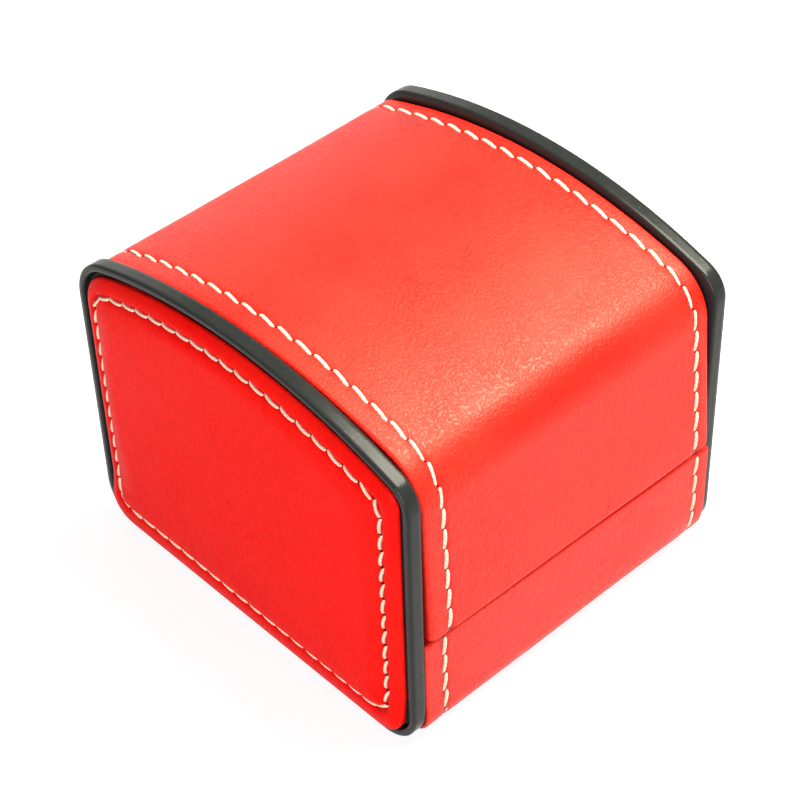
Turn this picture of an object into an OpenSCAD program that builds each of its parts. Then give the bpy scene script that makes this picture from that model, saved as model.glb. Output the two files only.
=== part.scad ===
// Pocket watch display box: two padded end frames, a covered base and an arched lid between them.
// X runs from the left end to the right one, the front faces -Y, and the table is at Z = 0.

/* [Overall] */
// Width over the rims of the two end frames
box_w = 90; // [70:1:130]
// Depth of the end frames, front to back
box_d = 100; // [80:1:140]
// Height at which the frames' straight sides meet the crown
spring_h = 72.7; // [60:0.1:100]
// Rise of the crown above the straight sides
crown_rise = 9.6; // [5:0.1:16]
// Height of the seam between base and lid
seam_h = 30; // [26:0.5:40]
// Gap between the two covers at the seam
seam_gap = 0.6; // [0.4:0.1:1.2]

/* [End frames] */
// Width of a frame across its band
frame_t = 3.5; // [3:0.1:6]
// Rounding of the band's outer edge
frame_edge_r = 1; // [0.4:0.1:1.2]
// Depth of the rim, from the band to the pad's recess
rim_t = 2.2; // [1.6:0.1:3]
// Width of the lip behind the board
lip_w = 1.2; // [0.8:0.1:2]
// Thickness of the lip behind the board
lip_t = 0.8; // [0.6:0.1:1.2]
// Corner radius at the front top
front_r = 7.2; // [5:0.1:12]
// Corner radius at the back top
back_r = 12.5; // [5:0.1:14]
// Corner radius at the feet
foot_r = 9.4; // [5:0.1:12]

/* [End panels] */
// Thickness of the board that carries the pad
board_t = 1.5; // [1:0.1:1.5]
// Thickness of the velvet on its inner face
velvet_t = 0.7; // [0.4:0.1:0.7]
// Gap between the rim and the foot of the pad
pad_gap = 0.7; // [0.4:0.1:1.5]
// Height of the pad above its board, at the middle
pad_h = 3.2; // [2:0.1:5]
// Distance from the pad's foot to its line of stitches
pad_stitch_in = 3.8; // [2.5:0.1:8]
// Depth that the stitches pull the pad in
pad_stitch_sink = 0.35; // [0:0.05:0.8]

/* [Base] */
// Thickness of the base's boards
base_board_t = 5; // [4.6:0.1:7]
// Thickness of the leather on base and lid
cover_t = 0.8; // [0.5:0.1:1.2]
// How far the base's front stands out past the frames
base_proud = 0.6; // [0:0.1:2]
// Corner radius of the base's lower edges
base_r = 7; // [3:0.1:9]
// Height of the base's underside above the table
base_lift = 1.2; // [1:0.1:2.5]
// Thickness of the felt under the base
felt_t = 0.8; // [0.4:0.1:0.9]

/* [Lid] */
// Thickness of the lid's board
lid_board_t = 3; // [2:0.1:4]
// Thickness of the lid's lining
lining_t = 1; // [0.5:0.1:1.5]
// Gap between each end of the lid and its frame
lid_gap = 0.6; // [0.4:0.1:1.2]
// How far the lid's lower front edge stands out past the frames
lid_proud = 1.2; // [0:0.1:2]
// Slope of the lid's front, in degrees
lid_flare = 3.3; // [0:0.1:5]
// Corner radius of the lid's front top
lid_front_r = 12.3; // [8:0.1:16]
// Corner radius of the lid's back top
lid_back_r = 6.4; // [5.5:0.1:10]
// Depth of the lid's crown below that of the frames
lid_drop = 1.6; // [0.5:0.1:4]
// How much larger the radius of the lid's crown is than the frames'
lid_flatten = 3.4; // [0:0.1:8]
// Distance from the top of the lid's crown to the middle of the box, towards the front
lid_crown_shift = 2.1; // [0:0.1:4]
// Distance from the backs of the covers to the backs of the frames
back_inset = 1.5; // [1.2:0.1:2.5]

/* [Hinge] */
// Length of the hinge
hinge_len = 56; // [40:1:60]
// Number of knuckles, an odd number
knuckles = 5; // [3:2:9]
// Radius of the hinge pin
pin_r = 0.7; // [0.5:0.05:0.8]
// Thickness of the rolled leaves
leaf_t = 0.65; // [0.5:0.05:0.7]
// Distance from the pin to the far edge of each leaf
leaf_h = 12; // [10:0.5:14]
// Radius of a rivet's shank
rivet_r = 0.9; // [0.7:0.05:1.1]
// Number of rivets in each leaf
rivets = 3; // [2:1:5]

/* [End pins] */
// Radius of a pin's shank
nail_r = 0.7; // [0.5:0.05:0.8]
// Length of a pin
nail_len = 12; // [8:0.5:16]

/* [Tray and watch pad] */
// Thickness of the tray's walls
tray_t = 1.5; // [1:0.1:2.5]
// Height of the tray's rim above the seam
tray_rim = 3; // [1:0.1:6]
// Width of each block beside the chain well
riser_w = 4; // [3:0.1:8]
// Height of the chain well
riser_h = 8; // [5:0.1:10]
// Thickness of the card under the pad
card_t = 1.8; // [1:0.1:2.5]
// Height of the watch pad at its edge
cushion_h = 11; // [9:0.1:13]
// Rise of the watch pad's crown above its edge
cushion_crown = 1.6; // [0:0.1:3]
// Diameter of the recess for the watch
recess_d = 53; // [44:0.5:58]
// Depth of the recess below the pad's edge
recess_depth = 8; // [5:0.1:8.5]
// Width of the notch for the watch's crown and bow
notch_w = 18; // [12:0.5:24]
// Length of the notch past the recess
notch_len = 12; // [6:0.5:14]
// Distance from the recess's centre to the middle of the pad, towards the front
recess_shift = 5; // [0:0.5:8]
// Width of the pull tab's ribbon
tab_w = 12; // [8:0.5:18]

/* [Hidden] */

red = [0.93, 0.13, 0.09];
black = [0.17, 0.18, 0.18];
velvet = [0.09, 0.08, 0.08];
board_brown = [0.62, 0.5, 0.36];
steel = [0.68, 0.68, 0.66];

corner_n = 7;      // straight pieces in a corner
crown_n = 24;      // straight pieces in the crown
round_n = 3;       // straight pieces in the band's rounded edge
min_r = 0.4;       // smallest radius that an inset corner keeps
cut = 1;           // how far a cutting solid runs past a face
fit_gap = 0.05;    // clearance of pins and rivets in their holes
slip_gap = 0.3;    // clearance of pieces that are put in loose
dome_steps = [0.75, 0.5, 0.25];   // sizes of a dome's rings, as shares of its foot
$fn = 48;

half_w = box_w / 2;
half_d = box_d / 2;
frame_in = half_w - frame_t;              // inner face of a frame
board_in = frame_in + lip_t;              // inner face of an end board
board_out = board_in + board_t;           // outer face of an end board
crown_r = (half_d * half_d + crown_rise * crown_rise) / (2 * crown_rise);
crown_z = spring_h + crown_rise - crown_r;  // height of the crown's centre

pad_side = 0.3;                           // height of the pad's upright side, as a share of pad_h
pad_border = 0.86;                        // height beside the stitches, as a share of pad_h
pad_turn = 2.2;                           // how sharply the border turns over
pad_steps = [0, 0.1, 0.28, 0.6, 0.82];    // rings between the pad's foot and the stitches
pad_groove = 0.7;                         // half the width of the stitched groove
pad_slope = 2.3;                          // width of the slope inside the groove
pad_slope_h = 0.91;                       // height at the end of that slope, as a share of pad_h

nail_head_r = nail_r * 2;
nail_head_t = 0.5;
nail_edge = 0.3;                          // from the lip to a pin's shank
nail_in = rim_t + lip_w + nail_r + nail_edge;   // from the frame's outline to a pin's axis
// Pins in the front and back boards, then in the bottom one, as [y, z].
nail_spots = concat(
    [for (way = [-1, 1]) for (k = [0.45, 0.8]) [way * (half_d - nail_in), seam_h * k]],
    [for (k = [-0.6, 0, 0.6]) [half_d * k, nail_in]]
);

base_top = seam_h - seam_gap / 2;
base_front = -half_d - base_proud;
cover_back = half_d - back_inset;
well_z = base_lift + cover_t + base_board_t;           // floor inside the base
well_front = -half_d + cover_t + base_board_t;           // the front board is thicker by what stands out
well_back = cover_back - cover_t - base_board_t;

lid_z = seam_h + seam_gap / 2;
lid_half = frame_in - lid_gap;
lid_front = -half_d - lid_proud;
lid_crown_r = crown_r + lid_flatten;
lid_crown_z = spring_h + crown_rise - lid_drop - lid_crown_r;

bore_r = pin_r + fit_gap;
knuckle_r = bore_r + leaf_t;
hinge_y = cover_back - cover_t + bore_r;
knuckle_gap = 0.25;
barrel_gap = 0.35;                        // clearance round the knuckles in the boards
knuckle_len = hinge_len / knuckles;
rivet_drop = leaf_h * 0.6;                // from the hinge's axis to the rivets
rivet_head_r = rivet_r * 2;
rivet_head_t = 0.5;
sink_t = leaf_t * 0.8;                    // depth of a rivet's countersink
pin_head_t = 0.5;

tray_half = frame_in - slip_gap;
tray_front = well_front + slip_gap;
tray_back = well_back - slip_gap;
tray_floor = well_z + tray_t;
tray_r = 2;                               // upright corners of the tray
pad_slip = 0.5;                           // gap between the watch pad and the tray
pad_half = tray_half - tray_t - pad_slip;
pad_front = tray_front + tray_t + pad_slip;
pad_back = tray_back - tray_t - pad_slip;
pad_mid = (pad_front + pad_back) / 2;
card_z = tray_floor + riser_h;
cushion_z = card_z + card_t;
cushion_top = cushion_z + cushion_h;
pad_corner_r = 2 * tray_r;
pad_corner_n = 4;                         // straight pieces in a corner of the watch pad
side_n = 6;                               // straight pieces in each of its sides
draw_in = 0.8;                            // how far its sides are drawn in between the corners
// The watch pad's side from foot to top, as [distance in, share of its height].
pad_profile = [[1.2, 0], [0.3, 0.15], [0, 0.4], [0.4, 0.7], [1.8, 0.9], [5, 1]];

recess_r = recess_d / 2;
recess_z = cushion_top - recess_depth;
cup_t = 0.8;
recess_y = pad_mid - recess_shift;
tab_y = (pad_front + recess_y - recess_r) / 2;   // the tab stands between the edge and the recess
tab_z = cushion_z + cushion_h / 2;        // foot of the tab in the pad
tab_t = 0.8;
tab_r = 1.4;
tab_top = 8;                              // height of the tab above the pad's edge

// ---- outlines in the YZ plane ----

function arc(c, r, a0, a1, n) =
    [for (i = [0:n]) let (a = a0 + (a1 - a0) * i / n) c + r * [cos(a), sin(a)]];

// The crown without its two end points, which its corners already hold.
function open_arc(c, r, a0, a1, n) =
    [for (i = [1:n - 1]) let (a = a0 + (a1 - a0) * i / n) c + r * [cos(a), sin(a)]];

// Centre of a corner circle that touches the side at y and, from inside, the crown's circle.
function top_corner(y, r, c, big_r) =
    [y, c[1] + sqrt(pow(big_r - r, 2) - pow(y - c[0], 2))];

function reversed(list) = [for (i = [len(list) - 1:-1:0]) list[i]];

// Outline of an end frame, moved inwards by d.
function end_outline(d) =
    let (
        c = [0, crown_z],
        rf = max(front_r - d, min_r),
        rb = max(back_r - d, min_r),
        rt = max(foot_r - d, min_r),
        f = top_corner(-half_d + d + rf, rf, c, crown_r - d),
        b = top_corner(half_d - d - rb, rb, c, crown_r - d),
        af = atan2(f[1] - c[1], f[0] - c[0]),
        ab = atan2(b[1] - c[1], b[0] - c[0])
    )
    concat(
        arc([-half_d + d + rt, d + rt], rt, 270, 180, corner_n),
        arc(f, rf, 180, af, corner_n),
        open_arc(c, crown_r - d, af, ab, crown_n),
        arc(b, rb, ab, 0, corner_n),
        arc([half_d - d - rt, d + rt], rt, 0, -90, corner_n)
    );

// The lid's front face at height z, moved inwards by d.
function lid_front_y(d, z) = lid_front + d / cos(lid_flare) + (z - lid_z) * tan(lid_flare);

// The lid's outline from the seam at the front over the crown to the seam at the back.
// It is moved inwards by d, and its ends are raised by e.
function lid_path(d, e) =
    let (
        c = [-lid_crown_shift, lid_crown_z],
        up = [sin(lid_flare), cos(lid_flare)],
        p = [lid_front, lid_z] + lid_front_r * [cos(lid_flare), -sin(lid_flare)],
        q = (p - c) * up,
        t = -q + sqrt(q * q - (p - c) * (p - c) + pow(lid_crown_r - lid_front_r, 2)),
        f = p + t * up,
        b = top_corner(cover_back - lid_back_r, lid_back_r, c, lid_crown_r),
        af = atan2(f[1] - c[1], f[0] - c[0]),
        ab = atan2(b[1] - c[1], b[0] - c[0])
    )
    concat(
        [[lid_front_y(d, lid_z + e), lid_z + e]],
        arc(f, lid_front_r - d, 180 - lid_flare, af, corner_n),
        open_arc(c, lid_crown_r - d, af, ab, crown_n),
        arc(b, lid_back_r - d, ab, 0, corner_n),
        [[cover_back - d, lid_z + e]]
    );

// The base's outline from its front top edge under the bottom to its back top edge.
function base_path(d, e) =
    let (r = max(base_r - d, min_r))
    concat(
        [[base_front + d, base_top - e]],
        arc([base_front + d + r, base_lift + d + r], r, 180, 270, corner_n),
        arc([cover_back - d - r, base_lift + d + r], r, 270, 360, corner_n),
        [[cover_back - d, base_top - e]]
    );

// ---- helpers ----

// Stands a YZ outline up and runs it along X.
module along_x(x0, x1) {
    translate([x0, 0, 0])
        rotate([90, 0, 90])
            linear_extrude(x1 - x0) children();
}

module rod_x(x0, x1, y, z, r) {
    translate([x0, y, z])
        rotate([0, 90, 0])
            cylinder(h = x1 - x0, r = r);
}

module rod_y(x, y0, y1, z, r0, r1) {
    translate([x, y0, z])
        rotate([-90, 0, 0])
            cylinder(h = y1 - y0, r1 = r0, r2 = r1);
}

module block(x, y, z) {
    translate([x[0], y[0], z[0]])
        cube([x[1] - x[0], y[1] - y[0], z[1] - z[0]]);
}

module on_side(side) {
    if (side < 0) {
        mirror([1, 0, 0]) children();
    } else {
        children();
    }
}

function flat(lists) = [for (l = lists) for (p = l) p];

// Faces of a skin over rings of n points each, from the first ring to the last.
function skin_faces(rings, n) =
    flat([for (k = [0:rings - 2]) flat([for (i = [0:n - 1])
        let (a = k * n + i, b = k * n + (i + 1) % n)
        [[a, a + n, b], [b, a + n, b + n]]])]);

// A closed form: a flat foot, a skin over the rings and a fan to the tip.
module domed(rings, foot, tip) {
    n = len(rings[0]);
    m = len(rings);
    points = concat(flat(rings), [foot, tip]);
    faces = concat(
        skin_faces(m, n),
        [for (i = [0:n - 1]) [i, (i + 1) % n, m * n]],
        [for (i = [0:n - 1]) [(m - 1) * n + (i + 1) % n, (m - 1) * n + i, m * n + 1]]
    );
    polyhedron(points, faces);
}

// ---- end frames and panels ----

// The frames' outline, moved inwards by d, as a ring at x.
function edge_ring(x, d) = [for (p = end_outline(d)) [x, p[0], p[1]]];

// A frame's section, as [x, distance in from the outline]: band, rounded edge, rim, recess and lip.
function frame_section() =
    let (flat_x = half_w - frame_edge_r, lip_in = rim_t + lip_w)
    concat(
        [[frame_in, lip_in], [frame_in, 0]],
        [for (i = [0:round_n]) let (a = 90 * i / round_n)
            [flat_x + frame_edge_r * sin(a), frame_edge_r * (1 - cos(a))]],
        [[half_w, rim_t], [board_in, rim_t], [board_in, lip_in]]
    );

// The section is run round the outline, and its last ring is joined to its first.
module end_frame(side) {
    section = frame_section();
    n = len(end_outline(0));
    last = (len(section) - 1) * n;
    points = flat([for (s = section) edge_ring(s[0], s[1])]);
    faces = concat(
        skin_faces(len(section), n),
        flat([for (i = [0:n - 1]) let (j = (i + 1) % n)
            [[last + i, i, last + j], [last + j, i, j]]])
    );
    color(black) on_side(side) polyhedron(points, faces);
}

module end_board(side) {
    color(board_brown) on_side(side) difference() {
        along_x(board_in, board_out) polygon(end_outline(rim_t + fit_gap));
        nail_holes();
    }
}

module end_lining(side) {
    color(velvet) on_side(side) difference() {
        along_x(board_in - velvet_t, board_in) polygon(end_outline(rim_t + lip_w + fit_gap));
        nail_holes();
    }
}

// Height of the pad's border above the board, at a share of the way from the foot to the stitches.
function border_h(share) =
    pad_h * (pad_side + (pad_border - pad_side) * (1 - pow(1 - share, pad_turn)));

// The pad's section, as [distance in from the foot, height above the board].
pad_section = concat(
    [[0, 0]],
    [for (k = pad_steps) [k * pad_stitch_in, border_h(k)]],
    [
        [pad_stitch_in, pad_h * pad_border - pad_stitch_sink],
        [pad_stitch_in + pad_groove, pad_h * pad_border],
        [pad_stitch_in + pad_groove + pad_slope, pad_h * pad_slope_h]
    ]
);

module end_pad(side) {
    foot_in = rim_t + pad_gap;
    last = pad_section[len(pad_section) - 1];
    mid = [0, spring_h / 2];
    inner = end_outline(foot_in + last[0]);
    rings = concat(
        [for (s = pad_section) edge_ring(board_out + s[1], foot_in + s[0])],
        [for (k = dome_steps) let (x = board_out + pad_h - (pad_h - last[1]) * k * k)
            [for (p = inner) let (q = mid + k * (p - mid)) [x, q[0], q[1]]]]
    );
    color(red) on_side(side)
        domed(rings, [board_out, mid[0], mid[1]], [board_out + pad_h, mid[0], mid[1]]);
}

// ---- end pins ----

module nails(r, head_r, over) {
    for (p = nail_spots) {
        rod_x(board_out - nail_len, board_out + over, p[0], p[1], r);
        rod_x(board_out - nail_head_t, board_out + over, p[0], p[1], head_r);
    }
}

module nail_holes() {
    nails(nail_r + fit_gap, nail_head_r + fit_gap, cut);
}

module end_pins(side) {
    color(steel) on_side(side) nails(nail_r, nail_head_r, 0);
}

// ---- base ----

module base_block(d, e) {
    polygon(base_path(d, e));
}

module well_cut(top) {
    block([-half_w, half_w], [well_front, well_back], [well_z, top]);
}

// Room for the knuckles, which turn in the seam at the back.
module barrel_cut() {
    reach = knuckle_r + barrel_gap;
    end = hinge_len / 2 + pin_head_t + barrel_gap;
    block([-end, end],
          [hinge_y - reach, half_d + cut], [seam_h - reach, seam_h + reach]);
}

// Room for a leaf in the outer face of a back wall, on the side of the seam that way says.
module leaf_cut(way) {
    low = seam_h + way * knuckle_r;
    high = seam_h + way * (leaf_h + fit_gap);
    block([-hinge_len / 2 - fit_gap, hinge_len / 2 + fit_gap],
          [hinge_y - knuckle_r, cover_back], [min(low, high), max(low, high)]);
}

module base_shell() {
    color(board_brown) difference() {
        along_x(-frame_in, frame_in) base_block(cover_t, cover_t);
        well_cut(base_top + cut);
        barrel_cut();
        leaf_cut(-1);
        rivet_row(-1, base_board_t, fit_gap);
        nail_holes();
        mirror([1, 0, 0]) nail_holes();
    }
}

module base_cover() {
    color(red) difference() {
        along_x(-frame_in, frame_in) base_block(0, 0);
        along_x(-half_w, half_w) base_block(cover_t, cover_t);
        well_cut(base_top + cut);
        barrel_cut();
    }
}

module bottom_felt() {
    inset = base_r;
    color(velvet)
        block([-frame_in + slip_gap, frame_in - slip_gap],
              [base_front + inset, cover_back - inset], [base_lift - felt_t, base_lift]);
}

// ---- hinge ----

// Knuckles are counted from the left: the even ones belong to the base and the odd ones to the lid.
module knuckle_row(first, r, trim) {
    for (i = [first:2:knuckles - 1]) {
        x = -hinge_len / 2 + i * knuckle_len;
        rod_x(x + trim, x + knuckle_len - trim, hinge_y, seam_h, r);
    }
}

module leaf(first, way) {
    y = [hinge_y - knuckle_r, hinge_y - bore_r];
    root = bore_r * 0.5;
    shoulder = knuckle_r + knuckle_gap;
    color(steel) difference() {
        union() {
            knuckle_row(first, knuckle_r, knuckle_gap / 2);
            block([-hinge_len / 2, hinge_len / 2], y,
                  way > 0 ? [seam_h + shoulder, seam_h + leaf_h] : [seam_h - leaf_h, seam_h - shoulder]);
            for (i = [first:2:knuckles - 1]) {
                x = -hinge_len / 2 + i * knuckle_len + knuckle_gap / 2;
                block([x, x + knuckle_len - knuckle_gap], y,
                      way > 0 ? [seam_h + root, seam_h + shoulder + cut]
                              : [seam_h - shoulder - cut, seam_h - root]);
            }
        }
        rod_x(-half_w, half_w, hinge_y, seam_h, bore_r);
        rivet_row(way, way > 0 ? lid_board_t : base_board_t, fit_gap);
    }
}

// Rivets run from a countersink in the leaf through the board to a head in its inner face.
module rivet_row(way, wall, gap) {
    outer = hinge_y - bore_r;
    inner = outer - wall;
    z = seam_h + way * rivet_drop;
    over = gap > 0 ? cut : 0;
    step = hinge_len / rivets;
    for (i = [0:rivets - 1]) {
        x = -hinge_len / 2 + step * (i + 0.5);
        rod_y(x, inner - over, outer + over, z, rivet_r + gap, rivet_r + gap);
        rod_y(x, outer - sink_t, outer, z, rivet_r + gap, rivet_r + sink_t + gap);
        rod_y(x, inner - over, inner + rivet_head_t, z, rivet_head_r + gap, rivet_head_r + gap);
    }
}

module hinge_base_leaf() {
    leaf(0, -1);
}

module hinge_lid_leaf() {
    leaf(1, 1);
}

module hinge_base_rivets() {
    color(steel) rivet_row(-1, base_board_t, 0);
}

module hinge_lid_rivets() {
    color(steel) rivet_row(1, lid_board_t, 0);
}

module hinge_pin() {
    head_r = (bore_r + knuckle_r) / 2;
    end = hinge_len / 2;
    color(steel) {
        rod_x(-end, end, hinge_y, seam_h, pin_r);
        rod_x(-end - pin_head_t, -end + knuckle_gap / 2, hinge_y, seam_h, head_r);
        rod_x(end - knuckle_gap / 2, end + pin_head_t, hinge_y, seam_h, head_r);
    }
}

// ---- lid ----

// A slice of the lid between two depths below its outer face.
module lid_band(outer, inner, e) {
    polygon(concat(lid_path(outer, e), reversed(lid_path(inner, e))));
}

module lid_shell() {
    color(board_brown) difference() {
        along_x(-lid_half + cover_t, lid_half - cover_t)
            lid_band(cover_t, cover_t + lid_board_t, cover_t);
        barrel_cut();
        leaf_cut(1);
        rivet_row(1, lid_board_t, fit_gap);
    }
}

// Leather over the arch, turned in over the board's ends and its lower edges.
module lid_cover() {
    deep = cover_t + lid_board_t;
    color(red) difference() {
        along_x(-lid_half, lid_half) lid_band(0, deep, 0);
        along_x(-lid_half + cover_t, lid_half - cover_t) lid_band(cover_t, deep + cut, cover_t);
        barrel_cut();
    }
}

module lid_lining() {
    deep = cover_t + lid_board_t;
    color(velvet)
        along_x(-lid_half + cover_t, lid_half - cover_t)
            lid_band(deep, deep + lining_t, 2 * cover_t);
}

// ---- tray ----

function round_rect(x, y, r) = concat(
    arc([x[1] - r, y[0] + r], r, -90, 0, corner_n),
    arc([x[1] - r, y[1] - r], r, 0, 90, corner_n),
    arc([x[0] + r, y[1] - r], r, 90, 180, corner_n),
    arc([x[0] + r, y[0] + r], r, 180, 270, corner_n)
);

module tray_plan(inset) {
    r = max(tray_r - inset, min_r);
    polygon(round_rect([-tray_half + inset, tray_half - inset],
                       [tray_front + inset, tray_back - inset], r));
}

module tray() {
    color(velvet) difference() {
        translate([0, 0, well_z])
            linear_extrude(seam_h + tray_rim - well_z) tray_plan(0);
        translate([0, 0, tray_floor])
            linear_extrude(seam_h + tray_rim) tray_plan(tray_t);
    }
}

module pad_riser(side) {
    end = tray_half - tray_t;
    color(board_brown) on_side(side)
        block([end - riser_w, end], [pad_front + tray_r, pad_back - tray_r], [tray_floor, card_z]);
}

// ---- watch pad ----

module pad_board() {
    color(board_brown)
        translate([0, 0, card_z])
            linear_extrude(card_t)
                polygon(round_rect([-pad_half, pad_half], [pad_front, pad_back], tray_r));
}

// A side of the watch pad between two corners, drawn in towards the middle.
function pulled(a, b, way) =
    [for (i = [1:side_n - 1]) let (t = i / side_n) a + (b - a) * t + 4 * draw_in * t * (1 - t) * way];

// A ring of the watch pad, moved inwards by d.
function pad_ring(d, z) =
    let (
        n = pad_corner_n,
        r = max(pad_corner_r - d, min_r),
        x = pad_half - d,
        y0 = pad_front + d,
        y1 = pad_back - d,
        ring = concat(
            arc([x - r, y0 + r], r, -90, 0, n),
            pulled([x, y0 + r], [x, y1 - r], [-1, 0]),
            arc([x - r, y1 - r], r, 0, 90, n),
            pulled([x - r, y1], [-x + r, y1], [0, -1]),
            arc([-x + r, y1 - r], r, 90, 180, n),
            pulled([-x, y1 - r], [-x, y0 + r], [1, 0]),
            arc([-x + r, y0 + r], r, 180, 270, n),
            pulled([-x + r, y0], [x - r, y0], [0, 1])
        )
    )
    [for (p = ring) [p[0], p[1], z]];

module pad_form() {
    side = [for (s = pad_profile) pad_ring(s[0], cushion_z + cushion_h * s[1])];
    top = side[len(side) - 1];
    dome = [for (k = dome_steps) let (z = cushion_top + cushion_crown * (1 - k * k))
        [for (p = top) [p[0] * k, pad_mid + (p[1] - pad_mid) * k, z]]];
    domed(concat(side, dome), [0, pad_mid, cushion_z], [0, pad_mid, cushion_top + cushion_crown]);
}

module watch_pad() {
    top = cushion_top + cushion_crown + cut;
    color(velvet) difference() {
        pad_form();
        translate([0, recess_y, recess_z - cup_t])
            cylinder(h = top - recess_z + cup_t, r = recess_r + cup_t + fit_gap);
        block([-notch_w / 2, notch_w / 2], [recess_y, recess_y + recess_r + notch_len], [recess_z, top]);
        block([-tab_w / 2 - fit_gap, tab_w / 2 + fit_gap],
              [tab_y - tab_r - fit_gap, tab_y + tab_r + fit_gap], [tab_z, top]);
    }
}

module recess_cup() {
    color(velvet) translate([0, recess_y, recess_z]) difference() {
        translate([0, 0, -cup_t]) cylinder(h = recess_depth + cup_t, r = recess_r + cup_t);
        cylinder(h = recess_depth + cut, r = recess_r);
        block([-notch_w / 2, notch_w / 2], [0, recess_r + cut + cup_t], [0, recess_depth + cut]);
    }
}

// A ribbon loop: its two legs run down into the pad.
module pull_tab() {
    z1 = cushion_top + tab_top - tab_r;
    color(red) along_x(-tab_w / 2, tab_w / 2) difference() {
        union() {
            translate([tab_y - tab_r, tab_z]) square([2 * tab_r, z1 - tab_z]);
            translate([tab_y, z1]) circle(r = tab_r);
        }
        translate([tab_y - tab_r + tab_t, tab_z + tab_t])
            square([2 * (tab_r - tab_t), z1 - tab_z - tab_t]);
        translate([tab_y, z1]) circle(r = tab_r - tab_t);
    }
}

end_frame(-1);  // end_frame_left
end_frame(1);  // end_frame_right
end_board(-1);  // end_board_left
end_board(1);  // end_board_right
end_pad(-1);  // end_pad_left
end_pad(1);  // end_pad_right
end_lining(-1);  // end_lining_left
end_lining(1);  // end_lining_right
end_pins(-1);  // end_pins_left
end_pins(1);  // end_pins_right
base_shell();
base_cover();
bottom_felt();
tray();
pad_riser(-1);  // pad_riser_left
pad_riser(1);  // pad_riser_right
hinge_base_leaf();
hinge_base_rivets();
hinge_pin();
lid_shell();
lid_cover();
lid_lining();
hinge_lid_leaf();
hinge_lid_rivets();
pad_board();
watch_pad();
recess_cup();
pull_tab();
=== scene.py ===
from bisect import bisect_right
from math import asin, atan2, cos, exp, hypot, pi, radians, sin, sqrt

import bmesh
import bpy
from mathutils import Matrix, Vector, noise
from mathutils.kdtree import KDTree


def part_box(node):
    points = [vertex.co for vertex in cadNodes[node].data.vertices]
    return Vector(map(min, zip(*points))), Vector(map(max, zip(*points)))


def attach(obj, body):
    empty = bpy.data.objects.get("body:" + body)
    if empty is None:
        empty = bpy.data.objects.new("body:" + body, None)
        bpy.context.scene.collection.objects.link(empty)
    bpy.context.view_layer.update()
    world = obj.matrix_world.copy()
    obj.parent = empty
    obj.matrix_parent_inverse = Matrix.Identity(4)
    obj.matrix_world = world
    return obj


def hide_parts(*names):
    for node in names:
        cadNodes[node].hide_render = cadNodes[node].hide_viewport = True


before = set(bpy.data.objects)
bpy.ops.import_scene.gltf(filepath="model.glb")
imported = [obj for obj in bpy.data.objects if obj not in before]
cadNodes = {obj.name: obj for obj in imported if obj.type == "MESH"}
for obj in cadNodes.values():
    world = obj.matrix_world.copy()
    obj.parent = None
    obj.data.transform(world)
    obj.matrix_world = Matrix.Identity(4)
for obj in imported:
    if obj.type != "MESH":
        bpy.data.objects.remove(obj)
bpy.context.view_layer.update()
mm = 0.001  # every size below is in millimetres, and the meshes are in metres
print("frame loaded")


# ---- small helpers

def boxOf(name):
    low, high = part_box(name)
    return low / mm, high / mm


def mix(a, b, share):
    return a + (b - a) * share


def smooth(value, start, end):
    share = min(max((value - start) / (end - start), 0), 1)
    return share * share * (3 - 2 * share)


def bell(value, width):
    return exp(-((value / width) ** 2))


def arc(centre, radius, start, end, steps):
    points = []
    for i in range(steps + 1):
        angle = radians(mix(start, end, i / steps))
        points.append((centre[0] + radius * cos(angle), centre[1] + radius * sin(angle)))
    return points


def between(a, b, steps):
    return [(mix(a[0], b[0], i / steps), mix(a[1], b[1], i / steps)) for i in range(1, steps)]


def cornerUnder(y, radius, centre, bigRadius):
    # centre of a corner that touches the side and, from inside, the crown's circle
    return y, centre[1] + sqrt((bigRadius - radius) ** 2 - (y - centre[0]) ** 2)


def headingOf(point, centre):
    return atan2(point[1] - centre[1], point[0] - centre[0]) * 180 / pi


def lengthsAlong(points):
    lengths = [0]
    for a, b in zip(points, points[1:]):
        lengths.append(lengths[-1] + (Vector(b) - Vector(a)).length)
    return lengths


def pathReader(points, side):
    # place and outward normal at a distance along a YZ path; side says which way is out
    lengths = lengthsAlong(points)
    normals = []
    for i in range(len(points)):
        a, b = points[max(i - 1, 0)], points[min(i + 1, len(points) - 1)]
        size = hypot(b[0] - a[0], b[1] - a[1])
        normals.append((-side * (b[1] - a[1]) / size, side * (b[0] - a[0]) / size))

    def at(distance):
        distance = min(max(distance, 0), lengths[-1])
        i = min(bisect_right(lengths, distance), len(points) - 1)
        share = (distance - lengths[i - 1]) / (lengths[i] - lengths[i - 1])
        y, z = (mix(points[i - 1][k], points[i][k], share) for k in (0, 1))
        ny, nz = (mix(normals[i - 1][k], normals[i][k], share) for k in (0, 1))
        size = hypot(ny, nz)
        return y, z, ny / size, nz / size

    return at, lengths[-1]


def quarterTurn(steps=4):
    # how far a rounded edge still is from its two sides, each as a share of its radius
    return [(1 - sin(pi / 2 * i / steps), 1 - cos(pi / 2 * i / steps)) for i in range(steps + 1)]


def addObject(name, data):
    made = bpy.data.objects.new(name, data)
    bpy.context.scene.collection.objects.link(made)
    return made


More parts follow.
